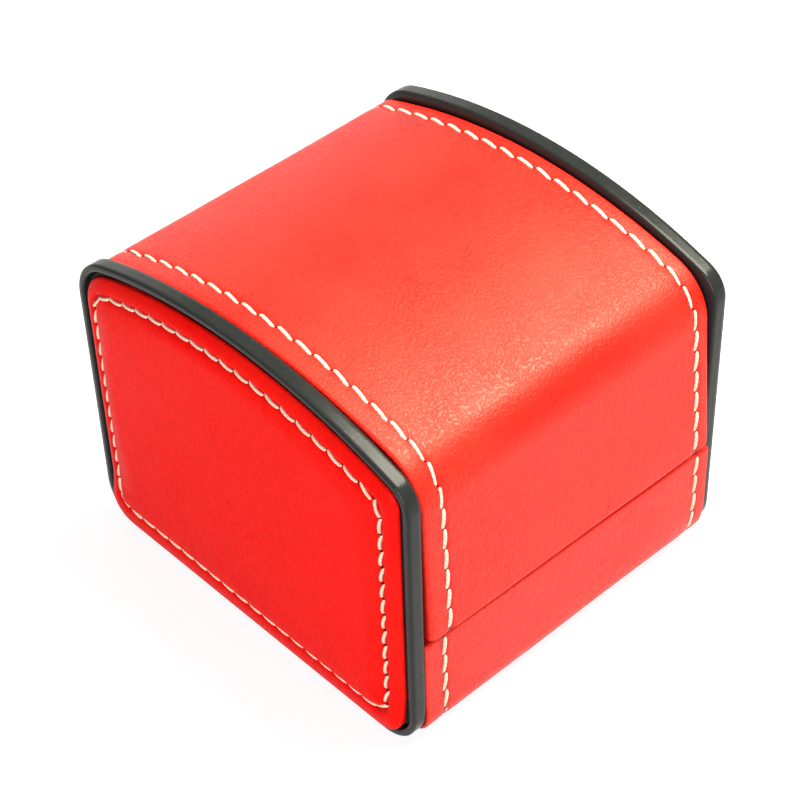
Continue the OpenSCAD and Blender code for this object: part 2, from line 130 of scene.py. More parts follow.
def newPiece(name, points, faces, material, marks=None):
    # points in millimetres; doubles are merged and the faces turned outwards
    mesh = bpy.data.meshes.new(name)
    mesh.from_pydata([Vector(p) * mm for p in points], [], faces)
    for word, values in (marks or {}).items():
        mesh.attributes.new(word, "FLOAT", "POINT").data.foreach_set("value", values)
    work = bmesh.new()
    work.from_mesh(mesh)
    bmesh.ops.remove_doubles(work, verts=work.verts, dist=0.004 * mm)
    bmesh.ops.dissolve_degenerate(work, edges=work.edges, dist=0.002 * mm)
    bmesh.ops.recalc_face_normals(work, faces=work.faces)
    middle = sum((v.co for v in work.verts), Vector()) / len(work.verts)
    if sum((f.calc_center_median() - middle).dot(f.normal) * f.calc_area() for f in work.faces) < 0:
        bmesh.ops.reverse_faces(work, faces=work.faces)
    work.to_mesh(mesh)
    work.free()
    mesh.shade_smooth()
    mesh.materials.append(material)
    return addObject(name, mesh)


def skin(rings, closedRing=True, closedRow=False):
    count = len(rings[0])
    faces = []
    for k in range(len(rings) if closedRow else len(rings) - 1):
        for i in range(count if closedRing else count - 1):
            a, b = k * count, (k + 1) % len(rings) * count
            j = (i + 1) % count
            faces.append((a + i, a + j, b + j, b + i))
    return faces


def lofted(name, rings, faces, material):
    return newPiece(name, [p for ring in rings for p in ring], faces, material)


def cappedPiece(name, rings, material):
    # a piece lofted through rings of equal length and closed at both ends
    count = len(rings[0])
    last = (len(rings) - 1) * count
    ends = [tuple(range(count)), tuple(range(last, last + count))]
    return lofted(name, rings, skin(rings) + ends, material)


def crossed(first, count):
    # closes a ring with narrow faces from one side to the other
    faces = []
    for k in range(count // 2):
        face = [first + k, first + k + 1, first + count - k - 1, first + (count - k) % count]
        faces.append(tuple(dict.fromkeys(face)))
    return faces


def freeze(piece):
    # what the modifiers make becomes the plain mesh
    bpy.context.view_layer.update()
    evaluated = piece.evaluated_get(bpy.context.evaluated_depsgraph_get())
    mesh = bpy.data.meshes.new_from_object(evaluated)
    piece.modifiers.clear()
    piece.data = mesh
    return piece


def refined(piece, levels):
    finer = piece.modifiers.new("finer", "SUBSURF")
    finer.levels = finer.render_levels = levels
    return freeze(piece).data


clothPress = {"grow": 10, "frames": 20, "pressure": 4, "stiffness": 15, "bending": 0.5}


def inflate(piece, held, cap):
    # swells a padded piece as cloth held at some of its points, at a size that suits the cloth
    mesh = piece.data
    rest = [v.co.copy() for v in mesh.vertices]
    piece.vertex_groups.new(name="held").add(held, 1, "REPLACE")
    mesh.transform(Matrix.Scale(clothPress["grow"], 4))
    cloth = piece.modifiers.new("swell", "CLOTH")
    settings = cloth.settings
    settings.vertex_group_mass = "held"
    settings.use_pressure = True
    settings.uniform_pressure_force = clothPress["pressure"]
    settings.tension_stiffness = settings.compression_stiffness = clothPress["stiffness"]
    settings.bending_stiffness = clothPress["bending"]
    settings.effector_weights.gravity = 0
    cloth.collision_settings.use_collision = False
    cloth.point_cache.frame_end = clothPress["frames"]
    for frameNumber in range(1, clothPress["frames"] + 1):
        bpy.context.scene.frame_set(frameNumber)
    swollen = piece.evaluated_get(bpy.context.evaluated_depsgraph_get()).to_mesh()
    moved = [v.co / clothPress["grow"] for v in swollen.vertices]
    piece.modifiers.clear()
    piece.vertex_groups.clear()
    bpy.context.scene.frame_set(1)
    largest = 0
    for vertex, old, new in zip(mesh.vertices, rest, moved):
        shift = new - old
        largest = max(largest, shift.length)
        if shift.length > cap * mm:
            shift *= cap * mm / shift.length
        vertex.co = old + shift
    print("swollen", piece.name, round(largest / mm, 2), "mm at most before the cap")


def settle(piece, body, slot, *replaced):
    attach(piece, body)
    if replaced:
        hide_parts(*replaced)
    return piece


def setInputs(node, inputs):
    # links the given sockets and sets the given values
    for name, value in inputs.items():
        if isinstance(value, bpy.types.NodeSocket):
            node.id_data.links.new(value, node.inputs[name])
        else:
            node.inputs[name].default_value = value


def addNode(tree, kind, inputs=None, **settings):
    made = tree.nodes.new(kind)
    for name, value in settings.items():
        setattr(made, name, value)
    setInputs(made, inputs or {})
    return made


def mathOf(tree, operation, a, b=0.0):
    return addNode(tree, "ShaderNodeMath", {0: a, 1: b}, operation=operation).outputs[0]


def times(tree, a, b):
    return mathOf(tree, "MULTIPLY", a, b)


def plus(tree, a, b):
    return mathOf(tree, "ADD", a, b)


def remap(tree, value, low, high, newLow, newHigh):
    return addNode(tree, "ShaderNodeMapRange", {
        "Value": value, "From Min": low, "From Max": high, "To Min": newLow, "To Max": newHigh,
    }).outputs[0]


def newMaterial(name, color, roughness, **sockets):
    material = bpy.data.materials.new(name)
    material.use_nodes = True
    tree = material.node_tree
    shader = tree.nodes["Principled BSDF"]
    setInputs(shader, {"Base Color": (*color, 1), "Roughness": roughness})
    setInputs(shader, {word.replace("_", " "): value for word, value in sockets.items()})
    return material, tree, shader


# ---- camera and light

cameraView = {
    "target": (-1.88, -1.46, 38.54),
    "distance": 491.96,
    "azimuth": -42.235,
    "elevation": 42.606,
    "roll": -1.908,
    "lens": 103.384,
}


def placeCamera():
    azimuth, elevation = radians(cameraView["azimuth"]), radians(cameraView["elevation"])
    back = Vector((
        sin(azimuth) * cos(elevation),
        -cos(azimuth) * cos(elevation),
        sin(elevation),
    ))
    level = (-back).cross(Vector((0, 0, 1))).normalized()
    above = level.cross(-back)
    roll = radians(cameraView["roll"])
    right = cos(roll) * level + sin(roll) * above
    up = cos(roll) * above - sin(roll) * level
    data = bpy.data.cameras.new("camera")
    data.lens = cameraView["lens"]
    data.sensor_width = 36
    data.sensor_fit = "HORIZONTAL"
    data.clip_start = 0.01
    camera = addObject("camera", data)
    place = (Vector(cameraView["target"]) + back * cameraView["distance"]) * mm
    camera.matrix_world = Matrix((
        (right.x, up.x, back.x, place.x),
        (right.y, up.y, back.y, place.y),
        (right.z, up.z, back.z, place.z),
        (0, 0, 0, 1),
    ))
    bpy.context.scene.camera = camera


studio = {
    "horizonLight": 0.38,  # level of the room's light at the horizon and overhead
    "overheadLight": 0.26,
    "horizonTop": 0.1,
    "overheadFrom": 0.5,
    "lamps": (  # name, place, size, power and colour
        ("keyLight", (192, -102, 510), 330, 8.8, (1, 0.95, 0.78)),
        ("fillLight", (-640, -470, 280), 600, 6.2, (1, 1, 1)),
        ("backLight", (420, 820, 250), 520, 0.9, (1, 1, 1)),
    ),
    "aim": (0, 0, 40),
    "floorReach": 60000,
    "floorColor": (0.31, 0.315, 0.33),
    "floorLift": 0.81,  # added where the camera or a gloss sees the floor
}


def seenDirectly(tree):
    # 1 for what the camera, a gloss or a clear material sees, 0 for the light on the object
    path = addNode(tree, "ShaderNodeLightPath").outputs
    gloss = mathOf(tree, "MAXIMUM", path["Is Camera Ray"], path["Is Glossy Ray"])
    return mathOf(tree, "MAXIMUM", gloss, path["Is Transmission Ray"])


def addLamp(name, place, size, power, color):
    data = bpy.data.lights.new(name, "AREA")
    data.shape = "DISK"
    data.size = size * mm
    data.energy = power
    data.color = color
    lamp = addObject(name, data)
    lamp.location = Vector(place) * mm
    lamp.rotation_euler = (Vector(studio["aim"]) - Vector(place)).to_track_quat("-Z", "Y").to_euler()


def buildStudio():
    scene = bpy.context.scene
    scene.view_settings.view_transform = "Standard"
    world = bpy.data.worlds.new("studio")
    scene.world = world
    world.use_nodes = True
    tree = world.node_tree
    direction = addNode(tree, "ShaderNodeTexCoord").outputs["Generated"]
    height = addNode(tree, "ShaderNodeSeparateXYZ", {"Vector": direction}).outputs["Z"]
    levels = [studio[key] for key in ("horizonTop", "overheadFrom", "horizonLight", "overheadLight")]
    setInputs(tree.nodes["Background"], {
        "Color": (1, 1, 1, 1), "Strength": remap(tree, height, *levels),
    })
    for lamp in studio["lamps"]:
        addLamp(*lamp)

    mesh = bpy.data.meshes.new("floor")
    reach = studio["floorReach"] * mm
    corners = [(-reach, -reach, 0), (reach, -reach, 0), (reach, reach, 0), (-reach, reach, 0)]
    mesh.from_pydata(corners, [], [(0, 1, 2, 3)])
    material, tree, shader = newMaterial("palePaper", studio["floorColor"], 1, Specular_IOR_Level=0)
    lift = addNode(tree, "ShaderNodeEmission", {
        "Color": (1, 1, 1, 1), "Strength": times(tree, seenDirectly(tree), studio["floorLift"]),
    })
    both = addNode(tree, "ShaderNodeAddShader", {0: shader.outputs[0], 1: lift.outputs[0]})
    setInputs(tree.nodes["Material Output"], {"Surface": both.outputs[0]})
    mesh.materials.append(material)
    addObject("floor", mesh)


placeCamera()
buildStudio()
print("camera and studio placed")


# ---- materials

def objectPlace(tree, stretch=(1, 1, 1)):
    place = addNode(tree, "ShaderNodeTexCoord")
    return addNode(tree, "ShaderNodeMapping", {
        "Vector": place.outputs["Object"], "Scale": stretch,
    }).outputs[0]


def noiseAt(tree, place, size, detail=3, roughness=0.5, distortion=0):
    # size is the width of a typical spot in millimetres
    return addNode(tree, "ShaderNodeTexNoise", {
        "Vector": place, "Scale": 1 / (size * mm), "Detail": detail, "Roughness": roughness,
        "Distortion": distortion,
    }).outputs["Fac"]


def mixColor(a, b, share):
    return tuple(mix(p, q, share) for p, q in zip(a, b))


def tint(tree, share, first, second):
    made = addNode(tree, "ShaderNodeMix", {0: share}, data_type="RGBA")
    for socket, color in ((6, first), (7, second)):
        setInputs(made, {socket: color if isinstance(color, bpy.types.NodeSocket) else (*color, 1)})
    return made.outputs[2]


def bump(tree, height, distance, under=None):
    made = addNode(tree, "ShaderNodeBump", {"Height": height, "Distance": distance * mm, "Strength": 1})
    if under is not None:
        setInputs(made, {"Normal": under})
    return made.outputs[0]


leatherLook = {
    "pebble": 0.5,
    "crease": 0.95,
    "creaseStretch": (1.0, 1.0, 0.4),
    "creaseWidth": 0.1,
    "creaseShade": 0.52,  # how much painted shade and dullness a crease gets
    "creaseDull": 0.12,
    "grainDepth": 0.012,
    "creaseDepth": 0.042,
    "patch": 9,
    "cloud": 26,
    "cloudShade": 0.07,
    "seamShade": 0.7,
}


def makeLeather(name, color, paintedShadeColor, pale, roughness, grain, specular):
    # deep, the second colour, is painted shade: in the grain's creases and, darker still, along the
    # stitch rows and rolled edges; pale is that of rubbed spots
    material, tree, shader = newMaterial(name, color, roughness, Specular_IOR_Level=specular,
                                         Specular_Tint=(1, 0.92, 0.74, 1))
    look = leatherLook
    place = objectPlace(tree)
    pebble = addNode(tree, "ShaderNodeTexVoronoi", {
        "Vector": place, "Scale": 1 / (look["pebble"] * mm), "Randomness": 1,
    }, feature="SMOOTH_F1")
    pebble.inputs["Smoothness"].default_value = 0.35
    crease = noiseAt(tree, objectPlace(tree, look["creaseStretch"]), look["crease"], 3, 0.55, 0.12)
    valley = mathOf(tree, "ABSOLUTE", mathOf(tree, "SUBTRACT", crease, 0.5))
    valley = remap(tree, valley, 0, look["creaseWidth"], 0, 1)
    patch = remap(tree, noiseAt(tree, place, look["patch"], 2, 0.5), 0.35, 0.65, 0.75, 1)
    furrow = times(tree, mathOf(tree, "SUBTRACT", 1.0, valley), patch)
    cloud = noiseAt(tree, place, look["cloud"], 3, 0.5)
    rubbed = mixColor(color, pale, look["cloudShade"])
    base = tint(tree, remap(tree, cloud, 0.35, 0.65, 0, 1), color, rubbed)
    # painted shade in the grain's creases
    base = tint(tree, times(tree, furrow, look["creaseShade"] * grain), base, paintedShadeColor)
    # painted shade along the stitch rows' grooves and on the rolled edges, where the attribute marks
    # them
    seam = addNode(tree, "ShaderNodeAttribute", attribute_name="seam").outputs["Fac"]
    base = tint(tree, times(tree, seam, look["seamShade"]), base, mixColor(paintedShadeColor, (0, 0, 0), 0.3))
    uneven = remap(tree, cloud, 0.3, 0.7, roughness - 0.04, roughness + 0.05)
    dull = plus(tree, uneven, times(tree, furrow, look["creaseDull"] * grain))
    fine = bump(tree, times(tree, pebble.outputs["Distance"], -1.0), look["grainDepth"] * grain)
    relief = bump(tree, times(tree, furrow, -1.0), look["creaseDepth"] * grain, fine)
    setInputs(shader, {"Base Color": base, "Roughness": dull, "Normal": relief})
    return material


def makePlastic():
    color = (0.016, 0.018, 0.018)
    material, tree, shader = newMaterial("blackPlastic", color, 0.22, Specular_IOR_Level=0.13)
    place = objectPlace(tree)
    smear = noiseAt(tree, place, 7, 4, 0.6)
    speck = noiseAt(tree, place, 0.7, 2, 0.5)
    grit = remap(tree, speck, 0.68, 0.78, 0, 1)
    setInputs(shader, {
        "Base Color": tint(tree, times(tree, grit, 0.25), color, (0.09, 0.095, 0.095)),
        "Roughness": plus(tree, remap(tree, smear, 0.3, 0.7, 0.17, 0.3), times(tree, grit, 0.25)),
        "Normal": bump(tree, speck, 0.008, bump(tree, smear, 0.06)),
    })
    return material


def makeThread():
    material, tree, shader = newMaterial("creamThread", (0.9, 0.66, 0.48), 0.7, Sheen_Weight=0.2,
                                         Sheen_Roughness=0.4)
    along, around = (
        addNode(tree, "ShaderNodeAttribute", attribute_name=word).outputs["Fac"]
        for word in ("along", "around")
    )
    turns = plus(tree, times(tree, along, 5.0), times(tree, around, 2.0))
    strand = remap(tree, mathOf(tree, "SINE", times(tree, turns, 2 * pi)), -1, 1, 0, 1)
    height = plus(tree, strand, times(tree, noiseAt(tree, objectPlace(tree), 0.18, 3, 0.6), 0.6))
    # painted shade in the twist's valleys and painted highlight on its crests: the base colour follows
    # the strand's height
    level = remap(tree, height, 0.1, 1.0, 0, 1)
    setInputs(shader, {
        "Base Color": tint(tree, level, (0.78, 0.46, 0.31), (0.95, 0.75, 0.57)),
        "Normal": bump(tree, height, 0.07),
    })
    return material


def makeVelvet(name, color, sheen):
    material, tree, shader = newMaterial(name, color, 0.95, Specular_IOR_Level=0.15, Sheen_Weight=sheen,
                                         Sheen_Roughness=0.45, Sheen_Tint=(0.42, 0.4, 0.42, 1))
    place = objectPlace(tree)
    nap = noiseAt(tree, place, 9, 3, 0.5, 0.5)
    pile = noiseAt(tree, place, 0.22, 2, 0.6)
    shade = plus(tree, remap(tree, nap, 0.3, 0.7, 0, 0.6), times(tree, pile, 0.4))
    setInputs(shader, {
        "Base Color": tint(tree, shade, color, mixColor(color, (0.5, 0.48, 0.5), 0.06)),
        "Normal": bump(tree, pile, 0.05, bump(tree, nap, 0.07)),
    })
    return material


def makeFibre(name, color, spot, depth, roughness=0.85):
    # pressed board, card and felt
    material, tree, shader = newMaterial(name, color, roughness, Specular_IOR_Level=0.25)
    fibre = noiseAt(tree, objectPlace(tree, (1, 1, 0.4)), spot, 6, 0.7, 0.4)
    dark = mixColor(color, (0, 0, 0), 0.35)
    setInputs(shader, {
        "Base Color": tint(tree, remap(tree, fibre, 0.35, 0.65, 0, 1), dark, color),
        "Normal": bump(tree, fibre, depth),
    })
    return material


def makeSteel():
    material, tree, shader = newMaterial("brightSteel", (0.62, 0.62, 0.6), 0.28, Metallic=1.0)
    brushed = noiseAt(tree, objectPlace(tree, (0.05, 1, 1)), 0.12, 3, 0.6)
    setInputs(shader, {
        "Roughness": remap(tree, brushed, 0.3, 0.7, 0.2, 0.38),
        "Normal": bump(tree, brushed, 0.006),
    })
    return material


def makeRibbon():
    material, tree, shader = newMaterial("redRibbon", (0.62, 0.02, 0.02), 0.42, Sheen_Weight=0.4,
                                         Sheen_Roughness=0.3)
    ribs = addNode(tree, "ShaderNodeTexWave", {
        "Vector": objectPlace(tree), "Scale": 1 / (1.6 * mm), "Distortion": 0.3,
    }, bands_direction="Z").outputs["Fac"]
    setInputs(shader, {
        "Base Color": tint(tree, ribs, (0.45, 0.01, 0.012), (0.7, 0.03, 0.025)),
        "Normal": bump(tree, ribs, 0.05),
    })
    return material


leatherLid = makeLeather("redLeatherLid", (0.75, 0.011, 0.0055), (0.5, 0.004, 0.002),
                         (0.9, 0.14, 0.08), 0.36, 1.0, 0.27)
leatherPad = makeLeather("redLeatherPanel", (0.88, 0.004, 0.0025), (0.55, 0.001, 0.001),
                         (0.9, 0.09, 0.06), 0.42, 0.6, 0.05)
blackPlastic = makePlastic()
creamThread = makeThread()
# painted shade: the needle holes are dark flat ellipsoids laid where their shade falls
needleHoleShade = newMaterial("needleHoleShade", (0.09, 0.004, 0.003), 0.9, Specular_IOR_Level=0.0)[0]
blackVelvet = makeVelvet("blackVelvet", (0.012, 0.011, 0.012), 0.35)
blackFelt = makeFibre("blackFelt", (0.02, 0.02, 0.021), 0.5, 0.15, 0.95)
rawBoard = makeFibre("rawBoard", (0.34, 0.22, 0.12), 0.8, 0.03)
greyCard = makeFibre("greyCard", (0.28, 0.23, 0.18), 0.6, 0.02)
blackBoard = makeFibre("blackBoard", (0.015, 0.015, 0.015), 0.6, 0.02)
brightSteel = makeSteel()
redRibbon = makeRibbon()
print("materials made")


# ---- outlines shared by the frames and panels

endShape = {
    "crownRise": 9.6,
    "frontRadius": 7.2,
    "backRadius": 12.5,
    "footRadius": 9.4,
    "smallest": 0.4,  # least corner radius of an inset outline
}
frameLow, frameHigh = boxOf("end_frame_right")
halfDepth = frameHigh.y
springHeight = frameHigh.z - endShape["crownRise"]
crownRadius = (halfDepth ** 2 + endShape["crownRise"] ** 2) / (2 * endShape["crownRise"])


def endOutline(inset, cornerSteps, crownSteps, sideSteps, floorSteps, smallest=endShape["smallest"]):
    centre = (0, frameHigh.z - crownRadius)
    front, back, foot = (
        max(endShape[key] - inset, smallest)
        for key in ("frontRadius", "backRadius", "footRadius")
    )
    low, edge, big = frameLow.z + inset, halfDepth - inset, crownRadius - inset
    frontTop = cornerUnder(-edge + front, front, centre, big)
    backTop = cornerUnder(edge - back, back, centre, big)
    frontEnd, backStart = headingOf(frontTop, centre), headingOf(backTop, centre)
    footFront = arc((-edge + foot, low + foot), foot, 270, 180, cornerSteps)
    topFront = arc(frontTop, front, 180, frontEnd, cornerSteps)
    crown = arc(centre, big, frontEnd, backStart, crownSteps)[1:-1]
    topBack = arc(backTop, back, backStart, 0, cornerSteps)
    footBack = arc((edge - foot, low + foot), foot, 0, -90, cornerSteps)
    return (
        footFront + between(footFront[-1], topFront[0], sideSteps) + topFront + crown + topBack
        + between(topBack[-1], footBack[0], sideSteps) + footBack
        + between(footBack[-1], footFront[0], floorSteps)
    )


# ---- end frames

endFrame = {
    "bevel": 0.32,  # along both edges of the flat band
    "bevelSteps": (0, 0.12, 0.5, 0.88, 1),
    "rim": 1.75,
    "rimRound": 0.55,
    "lip": 1.65,
    "cornerSteps": 18,
    "crownSteps": 60,
    "sideSteps": 24,
    "floorSteps": 30,
}
stepKeys = ("cornerSteps", "crownSteps", "sideSteps", "floorSteps")


def frameSection():
    # [distance from the middle of the box, distance in from the outline]
    inner, outer = frameLow.x, frameHigh.x
    board = boxOf("end_board_right")[0].x
    bevel, rim, soft = endFrame["bevel"], endFrame["rim"], endFrame["rimRound"]
    section = [(inner, rim + endFrame["lip"])]
    for share in endFrame["bevelSteps"]:
        section.append((inner + bevel * share, bevel * (1 - share) ** 1.4))
    section += [(mix(inner + bevel, outer - bevel, i / 4), 0) for i in (1, 2, 3)]
    for share in endFrame["bevelSteps"]:
        section.append((outer - bevel * (1 - share) ** 1.4, bevel * share))
    section += [(outer - soft * b, rim - soft * a) for a, b in quarterTurn(5)]
    return section + [(board, rim), (board, rim + endFrame["lip"])]


def makeEndFrame(side, name):
    steps = [endFrame[key] for key in stepKeys]
    rings = [[(side * x, y, z) for y, z in endOutline(inset, *steps)] for x, inset in frameSection()]
    piece = lofted(name, rings, skin(rings, True, True), blackPlastic)
    piece.data.set_sharp_from_angle(angle=radians(50))
    return piece


for side, word in ((-1, "left"), (1, "right")):
    rim = makeEndFrame(side, "endFrame" + word.capitalize())
    settle(rim, "base", "black_frame", "end_frame_" + word)
print("end frames made")


# ---- padded end panels

endPanel = {
    "footIn": 2.9,  # from the frame's outline to the foot of the pad
    "stitchIn": 3.8,  # from the foot to the row of stitches
    "sideHeight": 0.3,  # upright side, as a share of the pad's height
    "borderHeight": 0.8,
    "lowSide": 0.72,  # the same two along the bottom, where the border hangs fuller
    "lowBorder": 0.98,
    "turn": 2.4,
    "footDrop": 0.8,  # along the bottom the foot stands lower and the row higher
    "rowRise": 1.2,
    "cornerShare": 0.42,  # least radius of a corner as a share of its distance from the outline
    "slopeIn": 11,
    "slopeHeight": 0.9,
    "middleHeight": 0.94,
    # distances of the rings from the foot
    "rings": (0, 0.5, 1, 1.6, 2.2, 2.9, 3.4, 3.8, 4.2, 4.8, 5.6, 6.6, 7.8, 9.3, 11),
    "middleRings": 11,
    "cornerSteps": 8,
    "crownSteps": 58,
    "sideSteps": 30,
    "floorSteps": 44,
    "wobble": 0.1,
    "cap": 0.8,  # most that the cloth may swell the pad
    "grooveWidth": 0.8,
    "grooveDepth": 0.5,
    "grooveReach": 2.4,
    "seamWidth": 0.75,  # of the painted shade along the row
    "pucker": 0.35,  # how much deeper the groove is at a needle hole, as a share
    "stitchPitch": 4.5,
}
padLow, padHigh = boxOf("end_pad_right")
padHeight = padHigh.x - padLow.x


def panelOutline(inward, fine=1):
    inset = endPanel["footIn"] + inward
    steps = [endPanel[key] * fine for key in stepKeys]
    outline = endOutline(inset, *steps, max(endShape["smallest"], endPanel["cornerShare"] * inset))
    rise = mix(-endPanel["footDrop"], endPanel["rowRise"], min(inward / endPanel["stitchIn"], 1))
    rise *= 1 - smooth(inward, endPanel["stitchIn"], endPanel["slopeIn"])
    return [(y, z + rise * (1 - smooth(z, 4, 24))) for y, z in outline]


def panelHeight(inward, z):
    # height of the padding before it swells
    under = 1 - smooth(z, 5, 16)
    low = mix(endPanel["sideHeight"], endPanel["lowSide"], under)
    high = mix(endPanel["borderHeight"], endPanel["lowBorder"], under)
    share = min(inward / endPanel["stitchIn"], 1)
    border = low + (high - low) * (1 - (1 - share) ** endPanel["turn"])
    if inward <= endPanel["stitchIn"]:
        return padHeight * border
    share = min((inward - endPanel["stitchIn"]) / (endPanel["slopeIn"] - endPanel["stitchIn"]), 1)
    return padHeight * mix(endPanel["borderHeight"], endPanel["slopeHeight"], 1 - (1 - share) ** 2.2)


def grooveAt(look, away, turns):
    # depth of the groove beside a row of stitches, deepest at the needle holes
    pull = look["grooveDepth"] * bell(away, look["grooveWidth"])
    return pull * (1 + look["pucker"] * cos(2 * pi * turns))


def makeEndPanel(side, name):
    # a coarse pad swells as cloth held at its foot and at the row, then gets the row's fine groove
    middle = springHeight / 2
    points, insides, holds = [], [], []

    def addRing(outline, lift, inward, held):
        for y, z in outline:
            wave = endPanel["wobble"] * noise.noise(Vector((y, z, 9 * side)) * 0.07)
            wave *= smooth(inward, 0.5, 3)
            points.append((side * (padLow.x + lift(z) + wave), y, z))
            insides.append(inward)
            holds.append(held)

    foot = panelOutline(0)
    count = len(foot)
    addRing(foot, lambda z: 0, 0, 1)
    addRing(foot, lambda z: panelHeight(0, z) * 0.5, 0, 1)
    for inward in endPanel["rings"]:
        held = inward in (0, endPanel["stitchIn"])
        addRing(panelOutline(inward), lambda z: panelHeight(inward, z), inward, held)
    inner = panelOutline(endPanel["slopeIn"])
    for i in range(1, endPanel["middleRings"] + 1):
        share = 1 - i / (endPanel["middleRings"] + 0.5)
        height = padHeight * mix(endPanel["middleHeight"], endPanel["slopeHeight"], share * share)
        outline = [(y * share, mix(middle, z, share)) for y, z in inner]
        addRing(outline, lambda z: height, endPanel["slopeIn"] + 30 * (1 - share), 0)
    rings = len(points) // count
    faces = skin([range(count)] * rings) + crossed(0, count) + crossed((rings - 1) * count, count)
    panel = newPiece(name, points, faces, leatherPad, {"inside": insides, "held": holds})
    held = [i for i, mark in enumerate(panel.data.attributes["held"].data) if mark.value > 0.5]
    inflate(panel, held, endPanel["cap"])
    mesh = refined(panel, 2)

    row, lengths, stitches = panelRow()
    tree = KDTree(len(row))
    for i, (y, z) in enumerate(row):
        tree.insert((0, y, z), i)
    tree.balance()
    seams = [0.0] * len(mesh.vertices)
    for vertex, inward in zip(mesh.vertices, mesh.attributes["inside"].data):
        nearRow = abs(inward.value - endPanel["stitchIn"]) < endPanel["grooveReach"]
        if nearRow and side * vertex.co.x / mm > padLow.x + 1:
            place, i, away = tree.find((0, vertex.co.y / mm, vertex.co.z / mm))
            dip = grooveAt(endPanel, away, stitches * lengths[i] / lengths[-1])
            vertex.co.x -= side * dip * mm
            # painted shade along the row's groove
            seams[vertex.index] = bell(away, endPanel["seamWidth"])
    for word in ("inside", "held"):
        mesh.attributes.remove(mesh.attributes[word])
    mesh.attributes.new("seam", "FLOAT", "POINT").data.foreach_set("value", seams)
    return panel


def panelRow():
    row = panelOutline(endPanel["stitchIn"], 3)
    lengths = lengthsAlong(row + row[:1])
    return row, lengths, round(lengths[-1] / endPanel["stitchPitch"])


for side, word in ((-1, "left"), (1, "right")):
    panel = makeEndPanel(side, "endPanel" + word.capitalize())
    settle(panel, "base", "red_leather", "end_pad_" + word)
print("padded panels made", len(panel.data.polygons))


# ---- leather covers

coverLook = {
    "endRoll": 0.7,
    "thickness": 0.7,
    "stitchPitch": 5.4,
    "grooveDepth": 0.22,
    "grooveWidth": 0.8,
    "pucker": 0.3,
    "seamWidth": 0.95,
    "seamShade": 0.8,
    "fineStep": 0.3,  # spacing of the points near a row and near the hinge
    "fineReach": 2.1,
}


def crossStations(low, high, roll, coarse, fineSpots):
    # places across a cover with how deep the edge's roll is there
    turn, reach = quarterTurn(5)[:-1], coverLook["fineReach"]
    stations = [(low + roll * b, roll * a) for a, b in turn]
    place = low + roll
    while place < high - roll - 0.2:
        stations.append((place, 0))
        near = any(abs(place - spot) < reach for spot in fineSpots)
        step = coverLook["fineStep"] if near else coarse
        ahead = [spot - reach for spot in fineSpots if place < spot - reach < place + step]
        place = min(ahead) if ahead else place + step
    return stations + [(high - roll, 0)] + [(high - roll * b, roll * a) for a, b in reversed(turn)]


def walled(stations, depths):
    # turns the leather in past both ends of a row of stations, down to the given depths
    first, last = stations[0], stations[-1]
    head = [(first[0], depth) for depth in reversed(depths)]
    return head + stations + [(last[0], depth) for depth in depths]


def makeCover(name, at, total, cover, warp, move):
    # a sheet that follows the path, is rolled over at its four edges and turned in behind them
    endRoll, sideRoll = cover["endRoll"], cover["sideRoll"]
    along = walled(crossStations(0, total, endRoll, cover["stepAlong"], []), cover["endDepths"])
    across = crossStations(cover["left"], cover["right"], sideRoll, cover["stepAcross"], cover["fineAt"])
    across = walled(across, cover["sideDepths"])
    points, seams = [], []
    for distance, endDepth in along:
        for x, sideDepth in across:
            y, z, ny, nz = at(warp(x, distance))
            depth = max(endDepth, sideDepth)
            if endDepth <= endRoll and sideDepth <= sideRoll:
                q = (1 - min(distance, total - distance, endRoll) / endRoll) ** 2
                q += (1 - min(x - cover["left"], cover["right"] - x, sideRoll) / sideRoll) ** 2
                if q < 1 and endDepth and sideDepth:
                    depth = max(endRoll, sideRoll) * (1 - sqrt(1 - q))
            dy, dz, sink = move(x, distance, y, z)
            rolled = max(endDepth / endRoll, sideDepth / sideRoll)
            depth += sink * (1 - min(rolled, 1))
            # painted shade: marked beside the rows and over the rolled edges, where the edges and the
            # lid's lip stand in shade
            near = max(bell(x - spot, cover["seamWidth"]) for spot in cover["fineAt"][:2])
            seams.append(max(near * cover["seamShade"], smooth(rolled, 0.3, 1)))
            points.append((x, y + dy - ny * depth, z + dz - nz * depth))
    faces = skin([range(len(across))] * len(along), False)
    piece = newPiece(name, points, faces, leatherLid, {"seam": seams})
    solid = piece.modifiers.new("thickness", "SOLIDIFY")
    solid.thickness = cover["thickness"] * mm
    solid.offset = -1
    solid.use_even_offset = True
    solid.thickness_clamp = 0.9
    return freeze(piece)


def rowOf(x, start, end, pitch):
    return {"x": x, "from": start, "to": end, "count": round((end - start) / pitch)}


def notched(length, notch):
    # draws the leather back from the hinge along a cover's back edge
    def warp(x, distance):
        edge = smooth(abs(x), hingeHalf + 0.3, hingeHalf - 0.3)
        return distance - notch * edge * smooth(distance, length - hingeGap["ramp"], length)

    return warp


def moverOf(cover, low, high, rows):
    # the lean of a cover's front, its eased corners, its gentle waves and the pull of its stitches
    def move(x, distance, y, z):
        wave = cover["wobble"] * noise.noise(Vector((x, y, z + cover["waveFrom"])) * 0.045)
        sink = 0
        for row in rows:
            if row["from"] - 1 < distance < row["to"] + 1:
                turns = (distance - row["from"]) * row["count"] / (row["to"] - row["from"])
                sink += grooveAt(cover, x - row["x"], turns)
        if y >= 0:
            return 0, 0, sink + wave
        lean = mix(cover["leanLeft"], cover["leanRight"], (x - low.x) / (high.x - low.x))
        reach = cover["cornerReach"]
        ease = max(cover["left"] + reach - x, x - cover["right"] + reach, 0) ** 2 / reach ** 2
        lift = cover["cornerLift"] * ease * smooth(z, *cover["cornerSpan"])
        return -lean * smooth(z, *cover["leanSpan"]), lift, sink + wave

    return move


